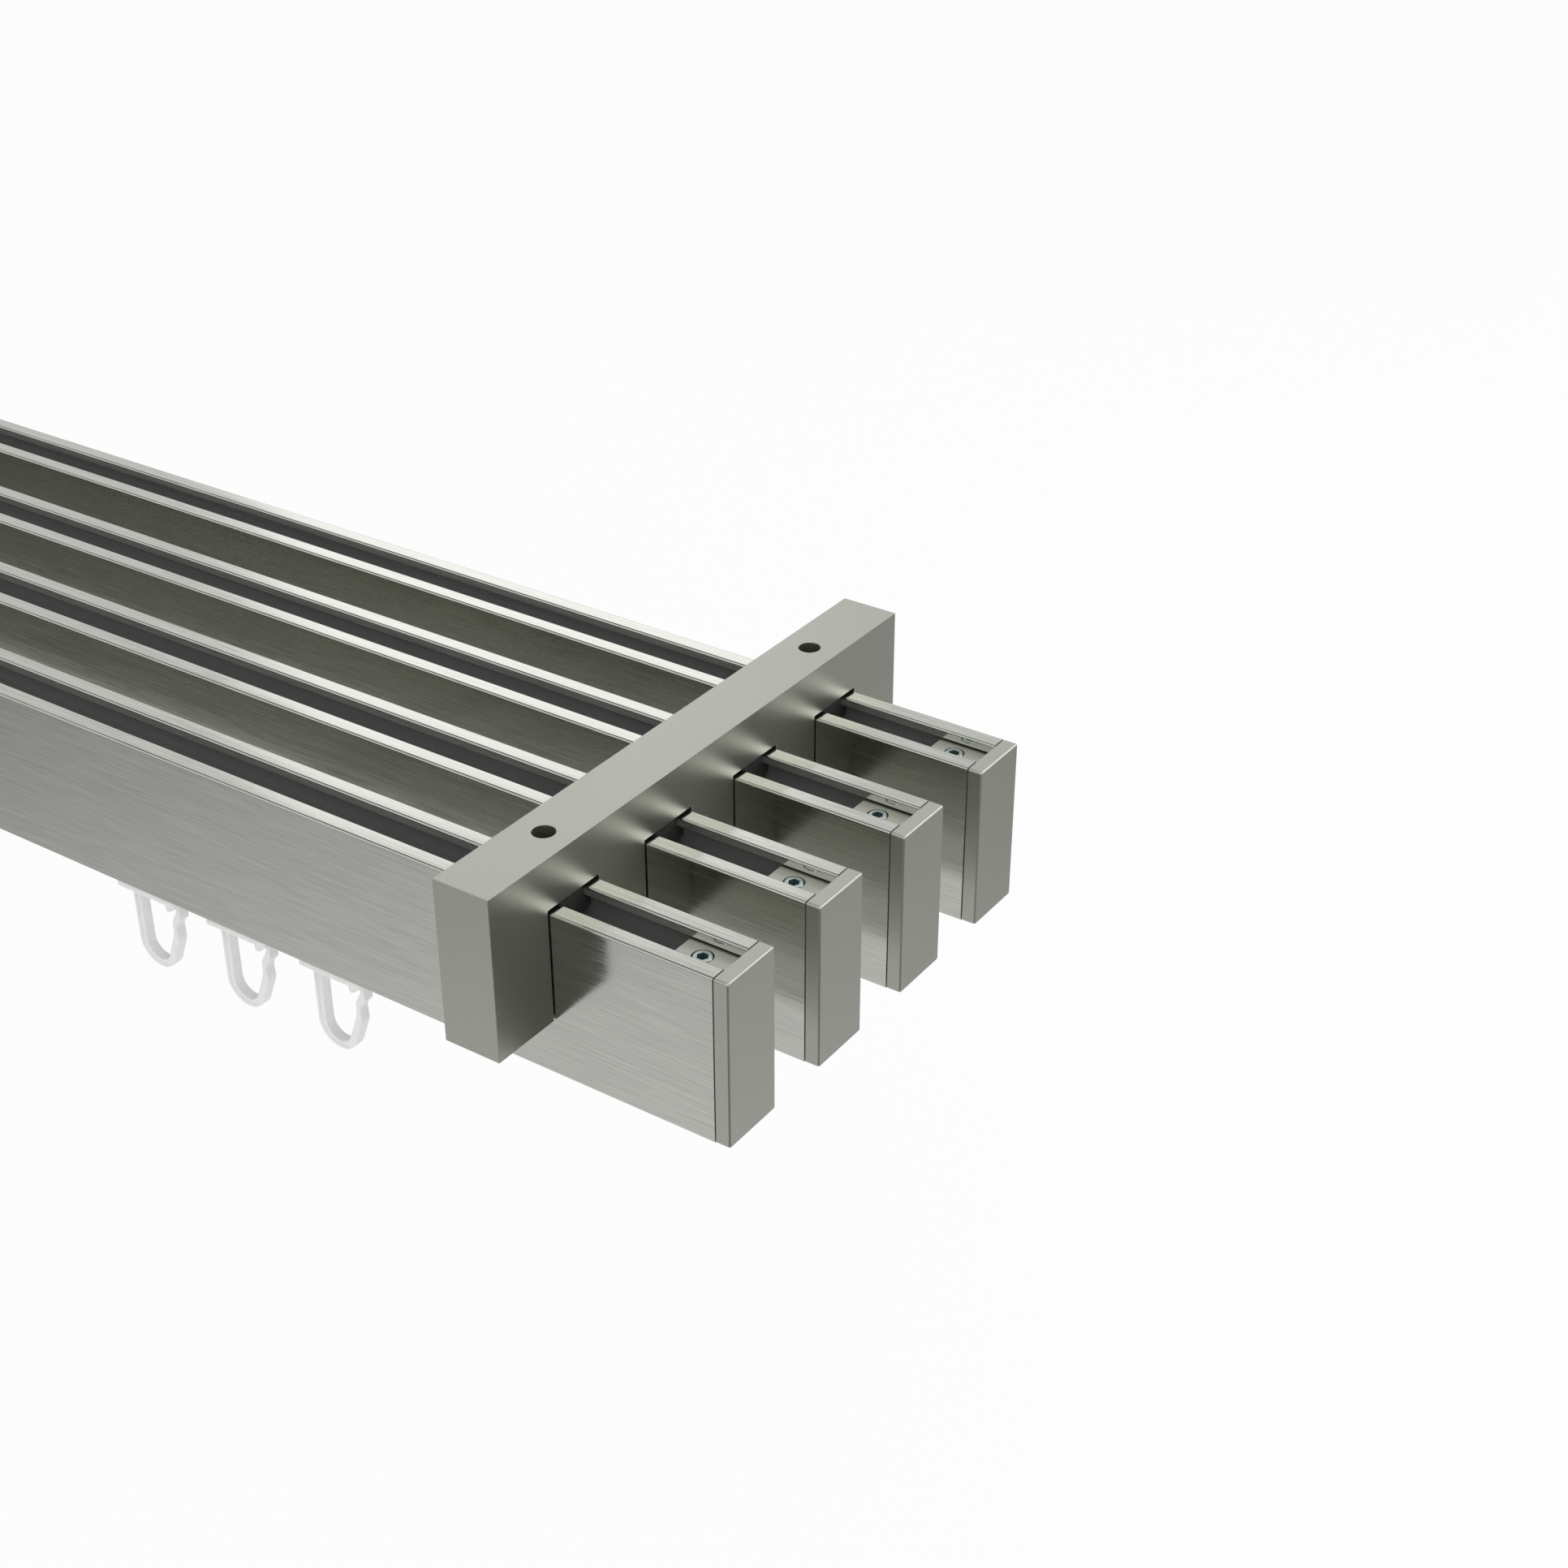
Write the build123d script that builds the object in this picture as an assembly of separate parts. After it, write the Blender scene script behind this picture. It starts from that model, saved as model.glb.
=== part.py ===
from build123d import *
import os

os.makedirs("parts", exist_ok=True)

# A ceiling curtain rod of four rectangular rails side by side, held up by two notched brackets
# Millimetres: +X runs along the rails, +Y across them and +Z up
# The origin lies on the ceiling, in the middle of the four screw holes of the brackets

# Rails: one extruded profile with like channels above and below
run_count = 4
run_pitch = 28.0
rail_length = 1000.0
rail_width = 14.0
rail_height = 35.0
rail_corner_radius = 0.5
rail_lower_edge = 0.3
side_wall = 1.4
web_thickness = 1.3
lip_thickness = 1.9
slot_width = 6.8
channel_depth = 6.2

# Ceiling brackets: square bars across the rails
bracket_inset = 41.0
bracket_thickness = 12.3
bracket_overhang = 22.5
bracket_height = 34.0
notch_depth = 10.5
notch_side_gap = 0.3
ceiling_hole_diameter = 4.4

# Hangers: T-shaped blocks that sit in the notches and carry the rails by their lips
hanger_length = 11.0
hanger_head_thickness = 3.0
hanger_side_gap = 0.2
rail_drop = 0.6
hanger_screw_diameter = 4.0
hanger_screw_length = 10.0
hanger_screw_head_width = 7.0
hanger_screw_head_height = 2.4
tapped_hole_spare = 1.0
screw_side_gap = 0.03

# End caps: a plate and two tongues in one piece
cap_thickness = 3.0
cap_edge = 0.4
cap_joint_gap = 0.3
tongue_reach = 12.0
tongue_side_gap = 0.2
tongue_lip_gap = 0.3
tongue_web_gap = 0.2
set_screw_inset = 7.0
set_screw_diameter = 4.0
set_screw_socket = 2.0
set_screw_socket_depth = 2.2
set_screw_stand = 0.1

# Gliders: one moulding of head, neck, plate and hook
gliders_per_rail = 3
glider_pitch = 25.4
last_glider_inset = 101.95
glider_head_length = 14.0
glider_head_thickness = 2.6
glider_head_side_gap = 0.4
glider_neck_length = 10.0
glider_neck_side_gap = 0.35
glider_plate_start = 0.8
glider_plate_length = 16.8
glider_plate_width = 11.4
glider_plate_thickness = 1.9
glider_plate_gap = 0.4
glider_plate_corner = 1.0
hook_width = 2.3
hook_tooth_width = 1.8
hook_root_gap = 0.3
hook_tip_gap = 0.4

# Places that follow from the sizes above
rail_top = -(notch_depth + rail_drop)
rail_bottom = rail_top - rail_height
rail_end = rail_length / 2
bracket_x = rail_end - bracket_inset
bracket_length = (run_count - 1) * run_pitch + 2 * bracket_overhang
channel_width = rail_width - 2 * side_wall
channel_floor = lip_thickness + channel_depth
chamber_height = rail_height - 2 * (channel_floor + web_thickness)
runs = [(n - (run_count - 1) / 2) * run_pitch for n in range(run_count)]
ends = {"left": -1, "right": 1}


def save(solid, name, colour):
    """Write one piece to its own file."""
    solid.label = name
    solid.color = Color(*colour)
    export_step(solid, f"parts/{name}.step")


ALUMINIUM = (0.66, 0.67, 0.63)
STEEL = (0.55, 0.60, 0.64)
PALE_PLASTIC = (0.90, 0.90, 0.88)


# Rails
def rail():
    """One rail, its top at zero: a chamber between two slotted channels, and eased outer edges."""
    middle = -rail_height / 2
    section = Pos(0, middle) * Rectangle(rail_width, rail_height)
    section -= Pos(0, middle) * Rectangle(channel_width, chamber_height)
    for turn in (0, 180):
        channel = Pos(0, -lip_thickness - channel_depth / 2) * Rectangle(channel_width, channel_depth)
        slot = Pos(0, -lip_thickness / 2) * Rectangle(slot_width, lip_thickness)
        section -= Pos(0, middle) * Rot(0, 0, turn) * Pos(0, -middle) * (channel + slot)
    bar = extrude(Plane.YZ * section, rail_length / 2, both=True)
    upper_edges = bar.edges().filter_by(Axis.X).group_by(Axis.Z)[-1]
    bar = fillet(upper_edges, min(rail_corner_radius, 0.45 * lip_thickness))
    lower_edges = bar.edges().filter_by(Axis.X).group_by(Axis.Z)[0]
    return chamfer(lower_edges, min(rail_lower_edge, 0.45 * lip_thickness))


rail_profile = rail()
for n, y in enumerate(runs, 1):
    save(Pos(0, y, rail_top) * rail_profile, f"rail_{n}", ALUMINIUM)


# Ceiling brackets
# The outer runs' holes go right through for the ceiling screws, the others are tapped from the notch
tapped_depth = hanger_screw_length - (rail_drop + lip_thickness + hanger_head_thickness) + tapped_hole_spare
outer_runs = (0, run_count - 1)


def ceiling_bracket():
    """A square bar with one open notch for each rail, its top on the ceiling."""
    bar = Pos(0, 0, -bracket_height / 2) * Box(bracket_thickness, bracket_length, bracket_height)
    notch_width = rail_width + 2 * notch_side_gap
    notch_height = bracket_height - notch_depth
    notch = Box(bracket_thickness, notch_width, notch_height)
    for n, y in enumerate(runs):
        bar -= Pos(0, y, -notch_depth - notch_height / 2) * notch
        if n in outer_runs:
            bar -= Pos(0, y, -notch_depth / 2) * Cylinder(ceiling_hole_diameter / 2, notch_depth)
        else:
            hole_radius = hanger_screw_diameter / 2 + screw_side_gap
            bar -= Pos(0, y, tapped_depth / 2 - notch_depth) * Cylinder(hole_radius, tapped_depth)
    return bar


bracket = ceiling_bracket()
for end, side in ends.items():
    save(Pos(side * bracket_x, 0, 0) * bracket, f"bracket_{end}", ALUMINIUM)


# Hangers
# The head lies under the lips of the rail's top channel and the stem reaches up to the notch
stem_height = rail_drop + lip_thickness
hanger_height = stem_height + hanger_head_thickness


def hanger():
    """A T-shaped block, its top at zero, with a plain hole for a screw from below."""
    head_width = channel_width - 2 * hanger_side_gap
    stem_width = slot_width - 2 * hanger_side_gap
    head = Box(hanger_length, head_width, hanger_head_thickness)
    block = Pos(0, 0, -stem_height - hanger_head_thickness / 2) * head
    block += Pos(0, 0, -stem_height / 2) * Box(hanger_length, stem_width, stem_height)
    return block - Pos(0, 0, -hanger_height / 2) * Cylinder(ceiling_hole_diameter / 2, hanger_height)


def hanger_screw():
    """A hexagon head screw, the seat of its head at zero and its shank pointing up."""
    shank = Pos(0, 0, hanger_screw_length / 2) * Cylinder(hanger_screw_diameter / 2, hanger_screw_length)
    head = RegularPolygon(hanger_screw_head_width / 2, 6, major_radius=False)
    return shank + extrude(head, -hanger_screw_head_height)


block = hanger()
short_screw = hanger_screw()
for end, side in ends.items():
    for n, y in enumerate(runs):
        save(Pos(side * bracket_x, y, -notch_depth) * block, f"hanger_{end}_{n + 1}", STEEL)
        if n not in outer_runs:
            screw_seat = Pos(side * bracket_x, y, -notch_depth - hanger_height)
            save(screw_seat * short_screw, f"hanger_screw_{end}_{n + 1}", STEEL)


# End caps
# The lower tongue seats on the web above it, so the set screw can press the upper one against the rail
tongue_length = tongue_reach + cap_joint_gap
tongue_width = channel_width - 2 * tongue_side_gap
tongue_top = -lip_thickness - tongue_lip_gap
tongue_foot = -channel_floor + tongue_web_gap
lower_tongue_top = channel_floor - rail_height
lower_tongue_foot = lip_thickness + tongue_lip_gap - rail_height
set_screw_x = -cap_joint_gap - set_screw_inset


def tongue(top, foot):
    """One tongue, from the back of the plate into the rail."""
    height = top - foot
    return Pos(-tongue_length / 2, 0, foot + height / 2) * Box(tongue_length, tongue_width, height)


def end_cap():
    """A plate with the rail's outline, its back at x zero, and a tongue for each channel."""
    plate = Pos(cap_thickness / 2, 0, -rail_height / 2) * Box(cap_thickness, rail_width, rail_height)
    front = plate.faces().sort_by(Axis.X)[-1]
    plate = chamfer(front.edges() + plate.edges().filter_by(Axis.X), min(cap_edge, 0.45 * cap_thickness))
    cap = plate + tongue(tongue_top, tongue_foot) + tongue(lower_tongue_top, lower_tongue_foot)
    hole_radius = set_screw_diameter / 2 + screw_side_gap
    hole_height = tongue_top - tongue_foot
    return cap - Pos(set_screw_x, 0, tongue_foot + hole_height / 2) * Cylinder(hole_radius, hole_height)


def set_screw():
    """A headless socket screw from the channel floor to just above the tongue, its foot at zero."""
    length = channel_floor + tongue_top + set_screw_stand
    screw = Pos(0, 0, length / 2) * Cylinder(set_screw_diameter / 2, length)
    socket = RegularPolygon(set_screw_socket / 2, 6, major_radius=False)
    return screw - Pos(0, 0, length) * extrude(socket, -set_screw_socket_depth)


cap = end_cap()
small_screw = set_screw()
for end, side in ends.items():
    turn = Rot(0, 0, 0 if side > 0 else 180)
    for n, y in enumerate(runs, 1):
        joint = Pos(side * (rail_end + cap_joint_gap), y, rail_top) * turn
        save(joint * cap, f"end_cap_{end}_{n}", ALUMINIUM)
        screw_foot = joint * Pos(set_screw_x, 0, -channel_floor)
        save(screw_foot * small_screw, f"set_screw_{end}_{n}", STEEL)


# Gliders
# Points of the hook are measured from the outer edge of its closed leg and the underside of the rail
plate_top = -glider_plate_gap
plate_foot = plate_top - glider_plate_thickness
plate_middle = glider_plate_start + glider_plate_length / 2
leg_top = plate_top - hook_root_gap
tip_top = plate_foot - hook_tip_gap


def hook_outline():
    """The closed leg, the round bend and the springy wavy leg, drawn once round."""
    inner_corners = [(2.15, leg_top), (2.15, -21.7), (7.75, -21.7), (10.95, -13.3), (11.0, -10.2), (12.5, -7.5)]
    inside = FilletPolyline(*inner_corners, (12.6, tip_top), radius=[3.6, 2.9, 7.0, 4.5, 2.0])
    outer_corners = [(0.15, leg_top), (0.15, -23.5), (8.8, -23.5), (12.2, -14.6), (11.85, -11.2), (13.6, -9.0)]
    outside = FilletPolyline(*outer_corners, (13.4, tip_top), radius=[5.45, 4.6, 3.5, 2.5, 0.2])
    shoulder = Line(inside @ 0, outside @ 0)
    tip = Line(inside @ 1, outside @ 1)
    return make_face(Curve() + [inside, tip, outside, shoulder])


def hook_tooth():
    """The tooth that keeps a curtain eye from slipping out past the springy leg."""
    corners = [(9.2, leg_top), (9.2, -8.1), (9.7, -8.6), (10.6, -8.2), (12.1, -6.4), (12.1, leg_top)]
    return make_face(Polyline(*corners, close=True))


def glider():
    """One moulding, with the underside of the rail at zero."""
    upright = Plane.XZ
    hook = extrude(upright * hook_outline(), hook_width / 2, both=True)
    hook += extrude(upright * hook_tooth(), hook_tooth_width / 2, both=True)
    plate = Box(glider_plate_length, glider_plate_width, glider_plate_thickness)
    plate = chamfer(plate.edges().filter_by(Axis.Z), glider_plate_corner)
    neck_height = lip_thickness + glider_plate_gap
    neck = Box(glider_neck_length, slot_width - 2 * glider_neck_side_gap, neck_height)
    head_width = channel_width - 2 * glider_head_side_gap
    head = Box(glider_head_length, head_width, glider_head_thickness)
    body = Pos(plate_middle, 0, plate_top - glider_plate_thickness / 2) * plate
    body += Pos(plate_middle, 0, plate_top + neck_height / 2) * neck
    body += Pos(plate_middle, 0, lip_thickness + glider_head_thickness / 2) * head
    return body + hook


moulding = glider()
last_glider = rail_end - last_glider_inset
for n, y in enumerate(runs, 1):
    for place in range(gliders_per_rail):
        x = last_glider - (gliders_per_rail - 1 - place) * glider_pitch
        save(Pos(x, y, rail_bottom) * moulding, f"glider_{n}_{place + 1}", PALE_PLASTIC)
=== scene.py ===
import math

import bmesh
import bpy
from mathutils import Matrix, Vector


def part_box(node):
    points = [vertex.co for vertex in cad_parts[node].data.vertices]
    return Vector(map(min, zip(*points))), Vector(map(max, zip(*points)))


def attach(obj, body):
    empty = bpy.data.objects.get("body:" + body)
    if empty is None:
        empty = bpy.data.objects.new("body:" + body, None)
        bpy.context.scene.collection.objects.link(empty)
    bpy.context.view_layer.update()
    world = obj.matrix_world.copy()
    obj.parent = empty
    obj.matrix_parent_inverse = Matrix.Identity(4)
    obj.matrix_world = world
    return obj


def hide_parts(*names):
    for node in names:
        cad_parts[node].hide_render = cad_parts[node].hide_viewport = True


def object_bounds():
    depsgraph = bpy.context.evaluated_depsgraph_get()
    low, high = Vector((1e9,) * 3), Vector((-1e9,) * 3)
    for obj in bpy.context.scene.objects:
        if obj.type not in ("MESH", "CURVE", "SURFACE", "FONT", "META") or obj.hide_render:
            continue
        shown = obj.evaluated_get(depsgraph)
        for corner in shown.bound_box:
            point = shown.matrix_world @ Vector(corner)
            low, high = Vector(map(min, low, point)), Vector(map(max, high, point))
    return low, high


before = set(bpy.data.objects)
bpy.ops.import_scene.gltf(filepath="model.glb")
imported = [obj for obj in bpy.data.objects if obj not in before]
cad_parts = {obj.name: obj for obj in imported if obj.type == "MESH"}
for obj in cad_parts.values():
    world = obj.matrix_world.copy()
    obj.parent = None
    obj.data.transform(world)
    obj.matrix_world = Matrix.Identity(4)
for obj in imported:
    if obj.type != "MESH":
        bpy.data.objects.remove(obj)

cad_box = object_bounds()


# View: the rod is seen from its right end, from the front and from above, as it hangs under
# a ceiling. The camera stands near it, so that the rails draw together towards their far end.
camera = bpy.data.objects.new("camera", bpy.data.cameras.new("camera"))
camera.data.lens = 56.3
camera.location = (0.6984, -0.3201, 0.2265)
looking = Vector((-0.48234, 0.71133, -0.51123))
camera.rotation_euler = looking.to_track_quat("-Z", "Y").to_euler()
bpy.context.collection.objects.link(camera)
bpy.context.scene.camera = camera
bpy.context.scene.view_settings.view_transform = "Standard"


# Studio: a wide sheet of pale paper below the rod, clear from beneath, a white sky and three soft boxes. A
# dark flag overhead and a dark patch painted on the paper draw fine lines along the edges, and pools of
# light painted on the paper brighten what the metal reflects; camera rays see the paper plain white.
class Value:
    """One output of a shader node. Sums written with it add their own Math nodes."""

    def __init__(self, finish, socket):
        self.finish = finish
        self.socket = socket

    def maths(self, operation, first, second):
        return self.finish.node("ShaderNodeMath", {"operation": operation}, {0: first, 1: second})

    def __add__(self, other):
        return self.maths("ADD", self, other)

    def __sub__(self, other):
        return self.maths("SUBTRACT", self, other)

    def __rsub__(self, other):
        return self.maths("SUBTRACT", other, self)

    def __mul__(self, other):
        return self.maths("MULTIPLY", self, other)

    __radd__ = __add__
    __rmul__ = __mul__


class Finish:
    """The node tree of a surface, or of the sky, as it is put together."""

    def __init__(self, owner):
        owner.use_nodes = True
        self.owner = owner
        self.tree = owner.node_tree
        self.tree.nodes.clear()

    def node(self, kind, settings, inputs, output=0):
        """Add a node: its settings first, then a value or a link for each socket that is named."""
        node = self.tree.nodes.new(kind)
        for name, setting in settings.items():
            if name == "stops":
                ramp = node.color_ramp.elements
                for element, (place, shade) in zip(ramp, setting):
                    element.position, element.color = place, (shade, shade, shade, 1)
            else:
                setattr(node, name, setting)
        for name, value in inputs.items():
            if isinstance(value, Value):
                self.tree.links.new(value.socket, node.inputs[name])
            else:
                node.inputs[name].default_value = value
        return Value(self, node.outputs[output]) if len(node.outputs) else None

    def blend(self, way, share, first, second):
        """Mix two colours. The Mix node has several sockets of one name, so they go by number."""
        settings = {"data_type": "RGBA", "blend_type": way}
        return self.node("ShaderNodeMix", settings, {0: share, 6: first, 7: second}, 2)

    def spots(self, place, scale, detail):
        """A soft cloudy pattern, about 0 to 1, with that many spots to the metre."""
        inputs = {"Vector": place, "Scale": scale, "Detail": detail}
        return self.node("ShaderNodeTexNoise", {}, inputs)

    def ramp(self, share, *stops):
        """A grey that goes from the first stop (share, shade) to the last."""
        return self.node("ShaderNodeValToRGB", {"stops": stops}, {"Fac": share})

    def relief(self, height, strength, depth):
        """A normal with small bumps that follow a pattern."""
        inputs = {"Height": height, "Strength": strength, "Distance": depth}
        return self.node("ShaderNodeBump", {}, inputs)

    def principled(self, inputs):
        """End the tree in a Principled shader with those inputs, and give the material."""
        surface = self.node("ShaderNodeBsdfPrincipled", {}, inputs)
        self.node("ShaderNodeOutputMaterial", {}, {"Surface": surface})
        return self.owner


def blank_finish(name):
    """A new material with an empty tree, and the place of each point of the surface."""
    finish = Finish(bpy.data.materials.new(name))
    return finish, finish.node("ShaderNodeTexCoord", {}, {}, "Object")


def rgb(red, green, blue):
    """A colour written as it looks on screen, from 0 to 255, as the shaders want it."""
    screen_gamma = 2.2
    return tuple((part / 255) ** screen_gamma for part in (red, green, blue)) + (1,)


def soft_box(name, place, aim, size, power):
    """A square studio lamp that stands at a place and shines at a point."""
    lamp = bpy.data.objects.new(name, bpy.data.lights.new(name, "AREA"))
    lamp.data.size = size
    lamp.data.energy = power
    lamp.location = place
    lamp.rotation_euler = (Vector(aim) - Vector(place)).to_track_quat("-Z", "Y").to_euler()
    bpy.context.collection.objects.link(lamp)


soft_box("soft_box_behind", (-0.88, 1.53, 0.93), aim=(0.4, 0, 0), size=0.6, power=0.8)
soft_box("soft_box_right", (1.15, 1.02, 0.72), aim=(0.47, 0, 0), size=0.8, power=3.2)
soft_box("soft_box_front", (1.1, -1.0, 1.2), aim=(0.6, -0.3, -0.2), size=0.8, power=3.2)

white = (1, 1, 1, 1)
sky_shade, flag_shade = 0.8, 0.08
flag_middle = (-0.58, 0.08, 0.81)
flag_outer_cosine, flag_inner_cosine = 0.93, 0.97
sky = Finish(bpy.data.worlds.new("sky"))
bpy.context.scene.world = sky.owner
direction = sky.node("ShaderNodeTexCoord", {}, {}, "Generated")
nearness = sky.node("ShaderNodeVectorMath", {"operation": "DOT_PRODUCT"},
                    {0: direction, 1: flag_middle}, "Value")
dome = sky.ramp(nearness, (flag_outer_cosine, sky_shade), (flag_inner_cosine, flag_shade))
camera_ray = sky.node("ShaderNodeLightPath", {}, {}, "Is Camera Ray")
seen_sky = sky.blend("MIX", camera_ray, dome, white)
surface = sky.node("ShaderNodeBackground", {}, {"Color": seen_sky, "Strength": 1.0})
sky.node("ShaderNodeOutputWorld", {}, {"Surface": surface})

floor_size = 8.0
floor_drop = 0.30
paper_white = (0.97, 0.97, 0.97, 1)
glow_share = 0.9
ground = bmesh.new()
bmesh.ops.create_grid(ground, x_segments=2, y_segments=2, size=floor_size / 2)
floor = bpy.data.objects.new("floor", bpy.data.meshes.new("floor"))
ground.to_mesh(floor.data)
ground.free()
floor.location = (0, 0, cad_box[0].z - floor_drop)
bpy.context.collection.objects.link(floor)

paper, paper_place = blank_finish("floor_paper")


def patch(centre, inner, outer, within, beyond):
    """A round patch painted on the paper, with one shade within the inner radius and one beyond the outer.
    """
    offset = paper.node("ShaderNodeVectorMath", {"operation": "SUBTRACT"},
                        {0: paper_place, 1: (*centre, 0)})
    distance = paper.node("ShaderNodeVectorMath", {"operation": "LENGTH"}, {0: offset}, "Value")
    return paper.ramp(distance * (1 / outer), (inner / outer, within), (1.0, beyond))


# Painted light and painted shade on the paper, seen only by glossy and transmission rays: two pools of
# light and one dark patch, which set how bright the metal's reflections are.
painted_light_under_rod = patch((0.40, -0.05), 0.30, 0.80, within=0.80, beyond=0.31)
painted_light_behind_rod = patch((-0.25, 0.55), 0.15, 0.55, within=0.5, beyond=0)
painted_dark_patch = patch((0.92, -0.44), 0.32, 0.42, within=0.95, beyond=0)
painted_pools = (painted_light_under_rod + painted_light_behind_rod) * (1 - painted_dark_patch)
rays = {kind: paper.node("ShaderNodeLightPath", {}, {}, f"Is {kind} Ray")
        for kind in ("Camera", "Glossy", "Transmission")}
tone = paper.blend("MIX", rays["Camera"], painted_pools, white)
glow = paper.node("ShaderNodeEmission", {}, {"Color": tone, "Strength": 1})
matt = paper.node("ShaderNodeBsdfDiffuse", {}, {"Color": paper_white})
upper = paper.node("ShaderNodeMixShader", {}, {0: sum(rays.values()) * glow_share, 1: matt, 2: glow})
beneath = paper.node("ShaderNodeNewGeometry", {}, {}, "Backfacing")
clear = paper.node("ShaderNodeBsdfTransparent", {}, {})
surface = paper.node("ShaderNodeMixShader", {}, {0: beneath, 1: upper, 2: clear})
paper.node("ShaderNodeOutputMaterial", {}, {"Surface": surface})
floor.data.materials.append(paper.owner)


# Rails: aluminium profiles, extruded in one length and brushed lengthwise on the outside, with rounded top
# edges. Each has a chamber between two slotted channels, which stay as extruded; the channels' insides and
# the sawn ends are painted dark grey as shade, and the slots' edges are painted lighter.
mm = 0.001
crease_angle = math.radians(32)
side_wall = 1.4 * mm
web_thickness = 1.3 * mm
lip_thickness = 1.9 * mm
slot_width = 6.8 * mm
channel_depth = 6.2 * mm
upper_rounding = 0.5 * mm
lower_rounding = 0.3 * mm
inner_rounding = 0.15 * mm

# Faces that lie less than this apart count as level with each other.
hair = 0.01 * mm


def rounded(corners, steps=5):
    """The points of a closed outline, given as corners (across, up, radius of the rounding)."""
    points = []
    for n, (across, up, radius) in enumerate(corners):
        corner = Vector((across, up))
        before = (Vector(corners[n - 1][:2]) - corner).normalized()
        after = (Vector(corners[(n + 1) % len(corners)][:2]) - corner).normalized()
        half = before.angle(after) / 2
        if not radius:
            points.append(corner)
            continue
        reach = radius / math.tan(half)
        centre = corner + (before + after).normalized() * radius / math.sin(half)
        first = (corner + before * reach - centre).normalized()
        last = (corner + after * reach - centre).normalized()
        points += [centre + first.slerp(last, step / steps) * radius for step in range(steps + 1)]
    return points


def solid(outlines, depth):
    """A body drawn up from flat outlines, of which the ones inside another are holes."""
    body = bmesh.new()
    edges = []
    for outline in outlines:
        corners = [body.verts.new((*point, 0)) for point in outline]
        edges += [body.edges.new(pair) for pair in zip(corners, corners[1:] + corners[:1])]
    bmesh.ops.triangle_fill(body, edges=edges, use_beauty=True, use_dissolve=True)
    lifted = bmesh.ops.extrude_face_region(body, geom=body.faces[:], use_keep_orig=True)
    top = [item for item in lifted["geom"] if isinstance(item, bmesh.types.BMVert)]
    bmesh.ops.translate(body, verts=top, vec=(0, 0, depth))
    bmesh.ops.recalc_face_normals(body, faces=body.faces)
    return body


def mesh_of(body, place=Matrix.Identity(4)):
    """The body as a mesh, turned and moved to its place."""
    mesh = bpy.data.meshes.new("body")
    body.to_mesh(mesh)
    body.free()
    mesh.transform(place)
    return mesh


def finished(node, template, place, materials, body="rod", easing=0.0):
    """The piece that stands for a node of the frame: a copy of the template at its place.

    Its edges are rounded by the easing. Pieces whose shape has its roundings already have none.
    """
    mesh = template.copy()
    mesh.name = node
    mesh.transform(place)
    for material in materials:
        mesh.materials.append(material)
    mesh.shade_smooth()
    mesh.set_sharp_from_angle(angle=crease_angle)
    piece = bpy.data.objects.new(f"{node}_finished", mesh)
    bpy.context.collection.objects.link(piece)
    if easing:
        edges = piece.modifiers.new("eased_edges", "BEVEL")
        edges.width, edges.segments, edges.angle_limit = easing, 3, crease_angle
        edges.harden_normals = True
    else:
        piece.modifiers.new("even_shading", "WEIGHTED_NORMAL").keep_sharp = True
    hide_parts(node)
    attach(piece, body)


low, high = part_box("rail_1")
rail_length, rail_half, rail_height = high.x - low.x, (high.y - low.y) / 2, high.z - low.z
floor_depth = lip_thickness + channel_depth
inside = rail_half - side_wall


def rail_outlines():
    """Outlines of the rail's section, its top edge at zero: the metal and the closed chamber."""
    slot = slot_width / 2
    upper = [
        (-slot, 0, upper_rounding), (-slot, -lip_thickness, inner_rounding),
        (-inside, -lip_thickness, 0), (-inside, -floor_depth, inner_rounding),
        (inside, -floor_depth, inner_rounding), (inside, -lip_thickness, 0),
        (slot, -lip_thickness, inner_rounding), (slot, 0, upper_rounding),
        (rail_half, 0, upper_rounding),
    ]
    lower = [(-y, -rail_height - z, min(radius, lower_rounding)) for y, z, radius in upper[:-1]]
    metal = [*upper, (rail_half, -rail_height, lower_rounding), *lower,
             (-rail_half, -rail_height, lower_rounding), (-rail_half, 0, upper_rounding)]
    top, foot = -floor_depth - web_thickness, floor_depth + web_thickness - rail_height
    chamber = [(-inside, top, inner_rounding), (-inside, foot, inner_rounding),
               (inside, foot, inner_rounding), (inside, top, inner_rounding)]
    return [rounded(metal), rounded(chamber)]


def scratches(metal, place, streak, pitch):
    """A pattern of fine lines along X, streak metres long and pitch metres apart, about 0 to 1."""
    stretch = (1 / streak, 1 / pitch, 1 / pitch)
    drawn = metal.node("ShaderNodeVectorMath", {"operation": "MULTIPLY"}, {0: place, 1: stretch})
    inputs = {"Vector": drawn, "Scale": 1.0, "Detail": 2.0, "Roughness": 0.6}
    return metal.node("ShaderNodeTexNoise", {}, inputs)


def brushed_metal(name, colour, shine, depth):
    """Lengthwise brushing: scratches of two sizes that shift the shade, the gloss and the relief."""
    metal, place = blank_finish(name)
    fine = scratches(metal, place, streak=13 * mm, pitch=0.22 * mm)
    broad = scratches(metal, place, streak=60 * mm, pitch=0.6 * mm)
    lines = fine * 0.85 + broad * 0.15
    shade = metal.ramp(lines, (0.36, 0.79), (0.64, 1.0))
    return metal.principled({
        "Base Color": metal.blend("MULTIPLY", 1.0, colour, shade), "Metallic": shine,
        "Roughness": (lines * 0.4 - 0.05) * depth,
        "Normal": metal.relief(lines, strength=0.12 * depth, depth=0.1 * mm),
    })


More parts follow.
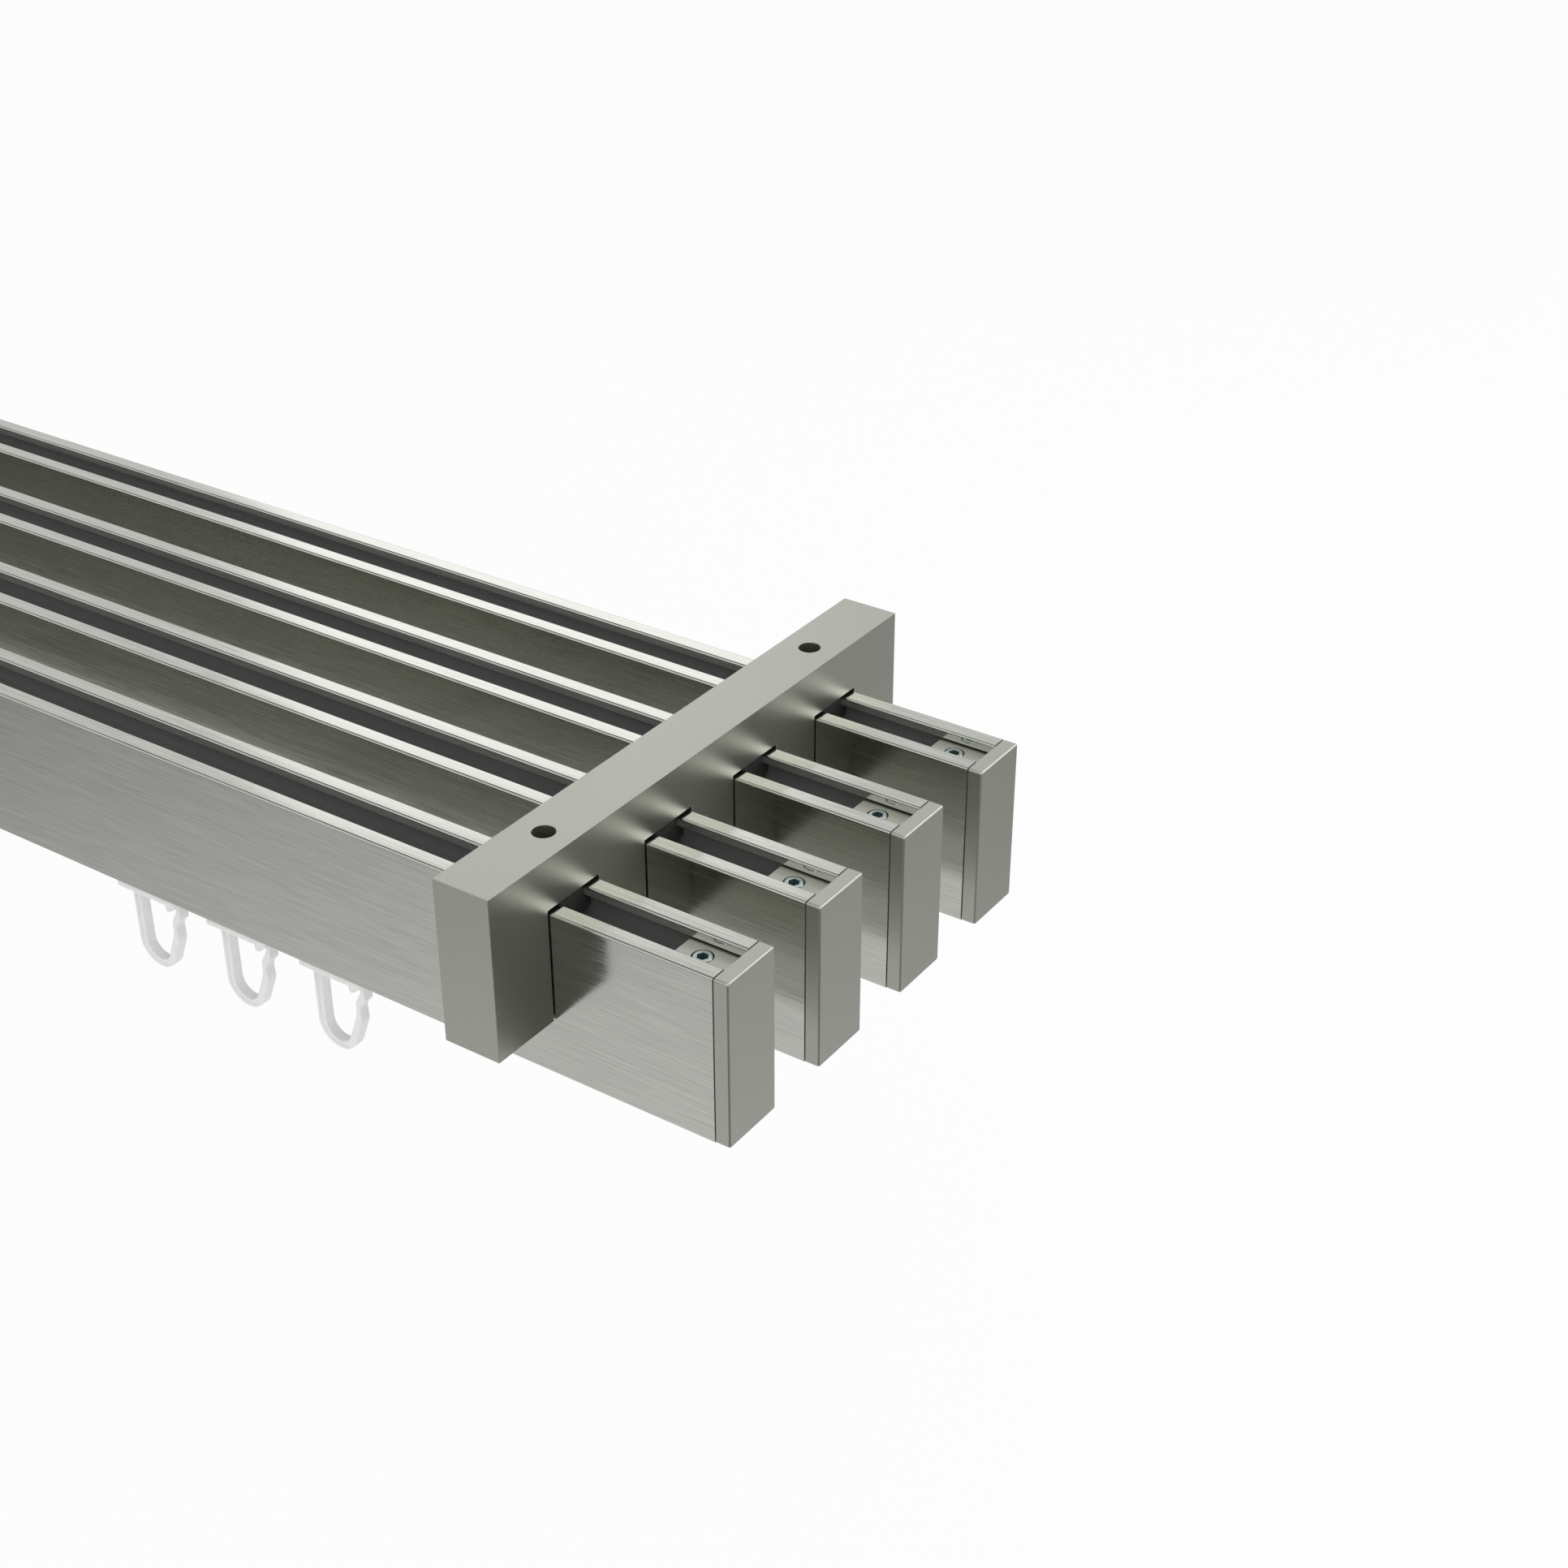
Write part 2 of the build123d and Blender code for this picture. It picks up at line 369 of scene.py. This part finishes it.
def bare_metal_painted_shade():
    """Aluminium as it leaves the die, dull, with long faint lines, and dark grey as painted shade for the
    channels' insides and the rail ends in the joint gaps.
    """
    metal, place = blank_finish("bare_channel_painted_shade")
    lines = scratches(metal, place, streak=400 * mm, pitch=0.8 * mm)
    shade = metal.ramp(lines, (0.3, 0.85), (0.7, 1.0))
    return metal.principled({
        "Base Color": metal.blend("MULTIPLY", 1.0, rgb(143, 143, 143), shade), "Metallic": 0.4,
        "Roughness": lines * 0.2 + 0.4,
    })


def finish_of(face):
    """Which finish a face of the rail has: 0 outside, 1 on a slot's edges, painted lighter, 2 inside and at
    the ends, painted dark as shade.
    """
    if abs(face.normal.x) > 0.5:
        return 2
    depth = min(-face.center.z, rail_height + face.center.z)
    if abs(face.center.y) > inside + inner_rounding or depth < upper_rounding:
        return 0
    return 1 if depth < lip_thickness - hair else 2


# Lays an upright body along X, so that its outline reads as (across the rails, up).
ALONG_X = Matrix(((0, 0, 1, 0), (1, 0, 0, 0), (0, 1, 0, 0), (0, 0, 0, 1)))
# The slots' edges take a less brushed copy of the rail metal, whose lighter colour is painted light.
rail_metals = [brushed_metal("brushed_rail", rgb(209, 210, 203), shine=1.0, depth=1.0),
               brushed_metal("slot_edge_painted_lighter", rgb(228, 229, 221), shine=0.85, depth=0.25), bare_metal_painted_shade()]
rail_template = mesh_of(solid(rail_outlines(), rail_length), ALONG_X)
for face in rail_template.polygons:
    face.material_index = finish_of(face)
runs = []
for n in range(1, 5):
    low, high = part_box(f"rail_{n}")
    runs.append((low.y + high.y) / 2)
    place = Matrix.Translation((low.x, runs[-1], high.z))
    finished(f"rail_{n}", rail_template, place, rail_metals)
rail_top, rail_foot = high.z, low.z


# Ceiling brackets: square aluminium bars across the rails, sawn and milled, with one open notch
# for each rail and an even satin finish. Screws go up through the two outer holes.
notch_gap = 0.3 * mm
notch_depth = 10.5 * mm
ceiling_hole_radius = 2.2 * mm
tapped_hole_radius = 1.65 * mm
tapped_hole_depth = 5.6 * mm
bracket_easing = 0.12 * mm

# Bodies that cut others run this far past the surface that they open.
overrun = 1.0 * mm


def ring(radius, sides=48):
    """The points of a circle."""
    turns = [math.tau * n / sides for n in range(sides)]
    return [Vector((math.cos(turn), math.sin(turn))) * radius for turn in turns]


def pin(outline, foot, top, x=0.0, y=0.0):
    """An upright body with that outline, as a mesh."""
    return mesh_of(solid([outline], top - foot), Matrix.Translation((x, y, foot)))


def carved(base, others, way):
    """The mesh that is left when others are cut out of the base, or joined to it."""
    pieces = [bpy.data.objects.new("blank", mesh) for mesh in (base, *others)]
    for piece in pieces:
        bpy.context.collection.objects.link(piece)
    for other in pieces[1:]:
        step = pieces[0].modifiers.new("carve", "BOOLEAN")
        step.operation, step.object = way, other
    left = pieces[0].evaluated_get(bpy.context.evaluated_depsgraph_get())
    result = bpy.data.meshes.new_from_object(left)
    for piece in pieces:
        bpy.data.objects.remove(piece)
    return result


def bracket_mesh():
    """A bracket with the middle of its top at zero."""
    low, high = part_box("bracket_right")
    thickness, half, height = high.x - low.x, (high.y - low.y) / 2, high.z - low.z
    notch_half = rail_half + notch_gap
    outline = [(half, 0, 0), (half, -height, 0)]
    for y in reversed(runs):
        outline += [(y + notch_half, -height, 0), (y + notch_half, -notch_depth, inner_rounding),
                    (y - notch_half, -notch_depth, inner_rounding), (y - notch_half, -height, 0)]
    outline += [(-half, -height, 0), (-half, 0, 0)]
    middle = Matrix.Translation((-thickness / 2, 0, 0))
    bar = mesh_of(solid([rounded(outline, steps=3)], thickness), middle @ ALONG_X)
    foot, tapped_top = -notch_depth - overrun, tapped_hole_depth - notch_depth
    holes = [pin(ring(ceiling_hole_radius), foot, overrun, y=y) for y in (runs[0], runs[3])]
    holes += [pin(ring(tapped_hole_radius), foot, tapped_top, y=y) for y in runs[1:3]]
    return carved(bar, holes, "DIFFERENCE")


def satin_metal():
    """An even satin finish: a fine grain without direction, with faint clouds in its gloss."""
    metal, place = blank_finish("satin_metal")
    grain = metal.spots(place, scale=2500.0, detail=2.0)
    clouds = metal.spots(place, scale=60.0, detail=3.0)
    shade = metal.ramp(grain * 0.5 + clouds * 0.5, (0.3, 0.95), (0.7, 1.0))
    return metal.principled({
        "Base Color": metal.blend("MULTIPLY", 1.0, rgb(186, 187, 178), shade), "Metallic": 1.0,
        "Roughness": clouds * 0.08 + 0.35, "Normal": metal.relief(grain, strength=0.06, depth=0.1 * mm),
    })


bracket_template = bracket_mesh()
bracket_metal = satin_metal()
for node in ("bracket_left", "bracket_right"):
    low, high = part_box(node)
    place = Matrix.Translation(((low.x + high.x) / 2, 0, high.z))
    finished(node, bracket_template, place, [bracket_metal], easing=bracket_easing)
bracket_ends = {"left": sum(corner.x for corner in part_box("bracket_left")) / 2,
                "right": sum(corner.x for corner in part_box("bracket_right")) / 2}


# Hangers: steel blocks with a T-shaped section, coloured dark grey as painted shade. They sit in the
# notches and carry the rails by their lips, and a screw from below or above goes through each.
stem_half, head_half = 3.2 * mm, 5.4 * mm
stem_height, head_height = 2.5 * mm, 3.0 * mm
hanger_easing = 0.2 * mm


def hanger_mesh():
    """A hanger with the middle of its top at zero."""
    low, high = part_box("hanger_right_1")
    length, foot = high.x - low.x, -stem_height - head_height
    outline = [(-stem_half, 0, 0), (-stem_half, -stem_height, 0), (-head_half, -stem_height, 0),
               (-head_half, foot, 0), (head_half, foot, 0), (head_half, -stem_height, 0),
               (stem_half, -stem_height, 0), (stem_half, 0, 0)]
    block = mesh_of(solid([rounded(outline)], length), Matrix.Translation((-length / 2, 0, 0)) @ ALONG_X)
    return carved(block, [pin(ring(ceiling_hole_radius), foot - overrun, overrun)], "DIFFERENCE")


def coated_and_shaded_steel(name, dull, bright, shine, roughness):
    """Steel under a thin coat, a little uneven where the coat is thicker; the same shader also gives the
    painted shade of the hangers and of the screw sockets.
    """
    metal, place = blank_finish(name)
    clouds = metal.spots(place, scale=700.0, detail=3.0)
    return metal.principled({
        "Base Color": metal.blend("MIX", clouds, dull, bright), "Metallic": shine,
        "Roughness": clouds * 0.2 + roughness,
    })


hanger_template = hanger_mesh()
# The hangers' dark grey is painted shade, matching the shade of the notches and channels they sit in.
hanger_shade = coated_and_shaded_steel("hanger_painted_shade", rgb(58, 58, 57), rgb(72, 72, 70), shine=0.3, roughness=0.45)
for end, x in bracket_ends.items():
    for n, y in enumerate(runs, 1):
        place = Matrix.Translation((x, y, -notch_depth))
        finished(f"hanger_{end}_{n}", hanger_template, place, [hanger_shade],
                 easing=hanger_easing)


# Hanger screws: M4 hexagon head screws of rolled steel, bright and cool with zinc plate.
# Each clamps its hanger against the bracket from inside the rail's upper channel.
thread_pitch = 0.7 * mm
thread_depth = 0.35 * mm
screw_radius = 2.0 * mm
shank_chamfer = 0.4 * mm
head_flats = 7.0 * mm
head_seat = -notch_depth - stem_height - head_height
head_overlap = 0.05 * mm


def threaded(length, foot_chamfer, top_chamfer, sides=32, steps=6):
    """A screw thread from zero up, its ends turned down to a cone."""
    body = bmesh.new()
    rings = []
    for level in range(round(length / thread_pitch * steps) + 1):
        up = min(level * thread_pitch / steps, length)
        points = []
        for side in range(sides):
            share = (up / thread_pitch - side / sides) % 1
            radius = screw_radius - thread_depth * abs(2 * share - 1)
            radius = min(radius, screw_radius - foot_chamfer + up, screw_radius - top_chamfer + length - up)
            turn = math.tau * side / sides
            points.append(body.verts.new((radius * math.cos(turn), radius * math.sin(turn), up)))
        rings.append(points)
    for below, above in zip(rings, rings[1:]):
        for side in range(sides):
            body.faces.new((below[side - 1], below[side], above[side], above[side - 1]))
    body.faces.new(reversed(rings[0]))
    body.faces.new(rings[-1])
    return mesh_of(body)


def hexagon(flats):
    """The points of a hexagon, given the distance between two of its flats."""
    return [point / math.cos(math.pi / 6) for point in ring(flats / 2, 6)]


def hanger_screw_mesh():
    """A hanger screw with its head's seat at zero and its shank above."""
    low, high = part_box("hanger_screw_right_2")
    shank = threaded(high.z - head_seat, 0, shank_chamfer)
    head = pin(hexagon(head_flats), low.z - head_seat, head_overlap)
    return carved(head, [shank], "UNION")


hanger_screw_template = hanger_screw_mesh()
zinc = coated_and_shaded_steel("zinc_plate", rgb(166, 180, 179), rgb(181, 190, 189), shine=1.0, roughness=0.12)
for end, x in bracket_ends.items():
    for n in (2, 3):
        place = Matrix.Translation((x, runs[n - 1], head_seat))
        finished(f"hanger_screw_{end}_{n}", hanger_screw_template, place, [zinc])


# End caps: aluminium plates with the rail's outline and softly rounded front edges, cast in one
# with two tongues that slide into the channels. A threaded hole goes down through the upper one.
cap_rounding = 0.5 * mm
cap_corner_rounding = 1.1 * cap_rounding
cap_joint_gap = 0.3 * mm
tongue_reach, tongue_root = 12.3 * mm, 1.0 * mm
tongue_half, tongue_rounding = 5.4 * mm, 0.2 * mm
tongue_gap, tongue_foot_gap = 0.3 * mm, 0.2 * mm
screw_inset, screw_play = 7.3 * mm, 0.08 * mm


def cap_mesh():
    """A right-hand end cap, its back at x zero and its top at zero."""
    low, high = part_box("end_cap_right_1")
    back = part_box("rail_1")[1].x + cap_joint_gap
    thickness = high.x - back
    corners = [(y, z, cap_corner_rounding) for y, z in
               ((-rail_half, 0), (-rail_half, -rail_height), (rail_half, -rail_height), (rail_half, 0))]
    plate = solid([rounded(corners)], thickness)
    front = [edge for edge in plate.edges if all(vert.co.z > thickness / 2 for vert in edge.verts)]
    bmesh.ops.bevel(plate, geom=front, offset=cap_rounding, segments=5, profile=0.5, affect="EDGES")
    plate = mesh_of(plate, ALONG_X)
    top, foot = -lip_thickness - tongue_gap, tongue_foot_gap - floor_depth
    start = Matrix.Translation((-tongue_reach, 0, 0))
    tongues = []
    for below, above in ((foot, top), (-rail_height - top, floor_depth - rail_height)):
        sides = ((-tongue_half, below), (tongue_half, below), (tongue_half, above), (-tongue_half, above))
        outline = rounded([(*side, tongue_rounding) for side in sides])
        tongues.append(mesh_of(solid([outline], tongue_reach + tongue_root), start @ ALONG_X))
    hole = pin(ring(screw_radius + screw_play), foot - overrun, top + overrun, x=-screw_inset)
    return carved(carved(plate, tongues, "UNION"), [hole], "DIFFERENCE")


cap_template = cap_mesh()
cap_ends = {"left": (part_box("rail_1")[0].x - cap_joint_gap, math.pi),
            "right": (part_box("rail_1")[1].x + cap_joint_gap, 0)}
for end, (x, turn) in cap_ends.items():
    for n, y in enumerate(runs, 1):
        place = Matrix.Translation((x, y, rail_top)) @ Matrix.Rotation(turn, 4, "Z")
        finished(f"end_cap_{end}_{n}", cap_template, place, [bracket_metal])


# Set screws: M4 steel screws without a head, plated with zinc, with painted shade on the faces inside the
# socket. Each is turned down on the rail's web with a hexagon key, until the tongue presses on the lips.
socket_flats = 2.0 * mm
socket_depth = 2.2 * mm
foot_cone = 0.5 * mm
top_chamfer = 0.35 * mm


def set_screw_mesh():
    """A set screw, its foot at zero. The faces inside its socket take the second material, the painted
    shade.
    """
    low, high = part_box("set_screw_right_1")
    length = high.z - low.z
    socket = pin(hexagon(socket_flats), length - socket_depth, length + overrun)
    screw = carved(threaded(length, foot_cone, top_chamfer), [socket], "DIFFERENCE")
    for face in screw.polygons:
        corners = [screw.vertices[corner].co for corner in face.vertices]
        within = max(corner.xy.length for corner in corners) < 0.6 * socket_flats
        face.material_index = int(within and min(corner.z for corner in corners) < length - hair)
    return screw


set_screw_template = set_screw_mesh()
# The socket's dark teal is painted shade for its deep hollow.
socket_shade = coated_and_shaded_steel("socket_painted_shade", rgb(68, 96, 95), rgb(88, 118, 116), shine=0.4, roughness=0.3)
for end, (x, turn) in cap_ends.items():
    for n, y in enumerate(runs, 1):
        low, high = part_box(f"set_screw_{end}_{n}")
        place = Matrix.Translation(((low.x + high.x) / 2, y, low.z)) @ Matrix.Rotation(turn, 4, "Z")
        finished(f"set_screw_{end}_{n}", set_screw_template, place, [zinc, socket_shade])


# Gliders: pale nylon mouldings. The head runs in the rail's lower channel, the neck passes its
# slot, and the plate below carries the hook, with a closed ribbed leg and a springy open one.
plate_start, plate_length, plate_half = 0.8 * mm, 16.8 * mm, 5.7 * mm
plate_top, plate_thickness = -0.4 * mm, 1.9 * mm
neck_length, neck_half = 10.0 * mm, 3.05 * mm
head_length, glider_head_half, glider_head_height = 14.0 * mm, 5.2 * mm, 2.6 * mm
neck_overlap = 0.1 * mm
hook_half, tooth_half = 1.15 * mm, 0.9 * mm
groove_depth = 0.4 * mm
glider_rounding, neck_rounding = 1.0 * mm, 0.5 * mm
glider_easing = 0.18 * mm
leg_edge = 0.15 * mm

# Lays an upright body across the rails, so that its outline reads as (along the rails, up).
ALONG_Y = Matrix(((1, 0, 0, 0), (0, 0, -1, 0), (0, 1, 0, 0), (0, 0, 0, 1)))


def millimetres(corners):
    """Corners of an outline, written in millimetres for easy reading, as metres."""
    return [tuple(size * mm for size in corner) for corner in corners]


def slab(corners, near, far):
    """A body drawn in side view, from near to far across the rail."""
    start = Matrix.Translation((0, far, 0))
    return mesh_of(solid([rounded(millimetres(corners), steps=9)], far - near), start @ ALONG_Y)


def tablet(start, length, half, foot, top, rounding):
    """A flat body with rounded corners, drawn in plan."""
    corners = [(start, -half, rounding), (start + length, -half, rounding),
               (start + length, half, rounding), (start, half, rounding)]
    return pin(rounded(corners), foot, top)


def glider_mesh():
    """A glider, with the outer edge of its closed leg and the underside of the rail at zero."""
    hook = slab([(2.15, -0.7, 0), (2.15, -21.7, 3.6), (7.75, -21.7, 2.9), (10.95, -13.3, 7.0),
                 (11.0, -10.2, 4.5), (12.5, -7.5, 2.0), (12.6, -2.7, 0.2), (13.4, -2.7, 0.3),
                 (13.6, -9.0, 0.8), (11.85, -11.2, 2.5), (12.2, -14.6, 3.5), (8.8, -23.5, 4.6),
                 (0.15, -23.5, 5.45), (0.15, -0.7, 0)], -hook_half, hook_half)
    grooves = []
    for side in (-1, 1):
        near, far = sorted((side * (hook_half - groove_depth), side * (hook_half + overrun)))
        grooves.append(slab([(0.62, -2.4, 0.2), (0.62, -23.0, 4.95), (8.3, -23.0, 0.2), (8.1, -22.2, 0.2),
                             (1.68, -22.2, 4.0), (1.68, -2.4, 0.2)], near, far))
    hook = carved(hook, grooves, "DIFFERENCE")
    tooth = slab([(9.2, -0.7, 0), (9.2, -8.1, 0.3), (9.7, -8.6, 0.35), (10.6, -8.2, 0.4),
                  (12.1, -6.4, 0.4), (12.1, -0.7, 0)], -tooth_half, tooth_half)
    middle = plate_start + plate_length / 2
    plate = tablet(plate_start, plate_length, plate_half, plate_top - plate_thickness, plate_top,
                   glider_rounding)
    neck = tablet(middle - neck_length / 2, neck_length, neck_half, plate_top - neck_overlap,
                  lip_thickness + neck_overlap, neck_rounding)
    head = tablet(middle - head_length / 2, head_length, glider_head_half, lip_thickness,
                  lip_thickness + glider_head_height, neck_rounding)
    return carved(plate, [neck, head, hook, tooth], "UNION")


def nylon():
    """Uncoloured nylon: milky, a little glossy, with faint flow clouds from the mould."""
    plastic, place = blank_finish("pale_nylon")
    flow = plastic.spots(place, scale=250.0, detail=3.0)
    tint = plastic.blend("MIX", flow, rgb(235, 236, 236), rgb(248, 248, 247))
    return plastic.principled({
        "Base Color": tint, "Roughness": flow * 0.2 + 0.3, "IOR": 1.53,
        "Normal": plastic.relief(flow, strength=0.1, depth=0.2 * mm),
        "Subsurface Weight": 0.15, "Subsurface Radius": (1, 1, 1), "Subsurface Scale": 1.5 * mm,
    })


glider_template = glider_mesh()
pale_nylon = nylon()
for n, y in enumerate(runs, 1):
    for count in range(1, 4):
        node = f"glider_{n}_{count}"
        place = Matrix.Translation((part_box(node)[0].x - leg_edge, y, rail_foot))
        finished(node, glider_template, place, [pale_nylon], body=node, easing=glider_easing)
